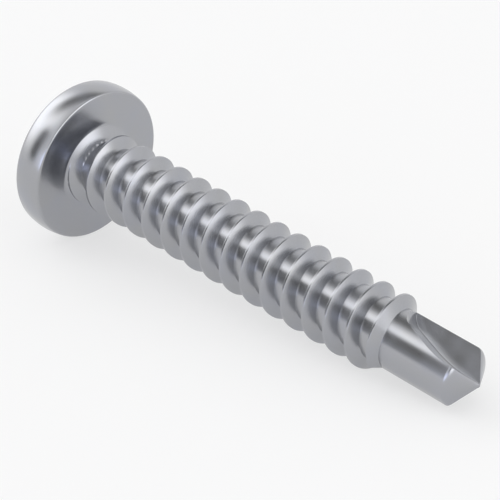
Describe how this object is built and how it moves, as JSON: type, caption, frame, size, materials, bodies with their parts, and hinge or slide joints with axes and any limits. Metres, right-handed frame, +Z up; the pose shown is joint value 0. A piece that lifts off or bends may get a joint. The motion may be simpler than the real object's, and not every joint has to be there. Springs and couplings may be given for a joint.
{
  "type": "self drilling screw",
  "caption": "Pan head self drilling screw with a cross recess, a coarse thread up to the head and a fluted drill point.",
  "frame": {"origin": "middle of the base of the part's box, on the ground on which the screw lies", "axes": "+X from the head to the point, level; the screw's own axis dips 5.83 degrees below +X towards the point; +Z up"},
  "size_m": [0.029, 0.0084, 0.0084],
  "materials": {
    "zinc_plated_steel": "smooth, bright zinc plate"
  },
  "bodies": {
    "root": {"screw": "zinc_plated_steel"}
  },
  "joints": []
}
